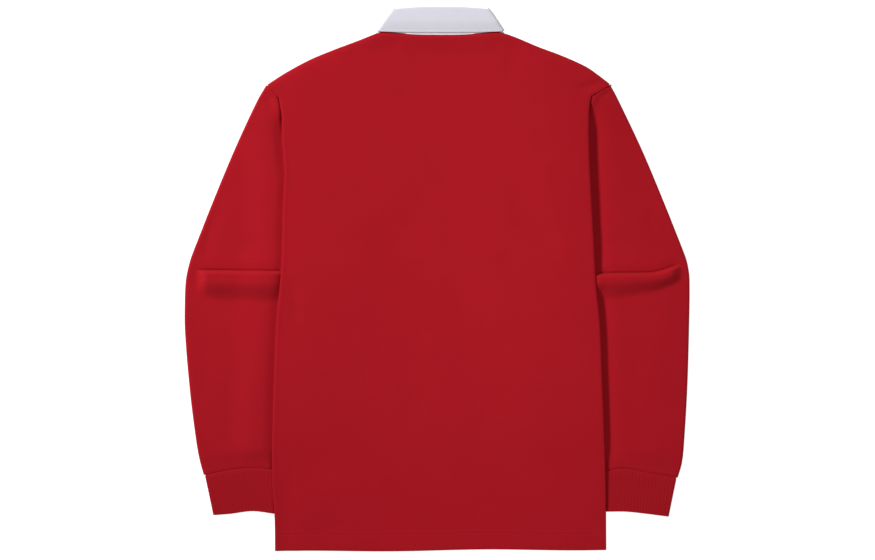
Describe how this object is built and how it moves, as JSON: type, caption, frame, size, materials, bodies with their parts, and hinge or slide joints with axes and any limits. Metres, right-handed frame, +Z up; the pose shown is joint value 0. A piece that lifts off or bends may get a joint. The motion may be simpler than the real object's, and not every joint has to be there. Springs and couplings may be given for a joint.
{
  "type": "polo shirt",
  "caption": "Long-sleeved polo shirt with a turned-down collar and ribbed cuffs, laid flat with its back up.",
  "frame": {"origin": "on the underside of the front panel, at the middle of the shirt as it lies, on the floor", "axes": "+Z up from the surface to the shirt's back, +Y from the hem to the collar, +X to the wearer's right"},
  "size_m": [0.7015, 0.7557, 0.0143],
  "materials": {
    "red_jersey": "matt knitted cotton",
    "red_rib": "matt ribbed knit",
    "white_twill": "matt woven cotton",
    "white_button": "satin"
  },
  "bodies": {
    "root": {"back": "red_jersey", "front": "red_jersey", "sleeve_left": "red_jersey", "sleeve_right": "red_jersey", "cuff_left": "red_rib", "cuff_right": "red_rib", "collar": "white_twill", "placket_under": "white_twill", "placket_over": "white_twill", "button_1": "white_button", "button_2": "white_button", "button_3": "white_button"}
  },
  "joints": []
}
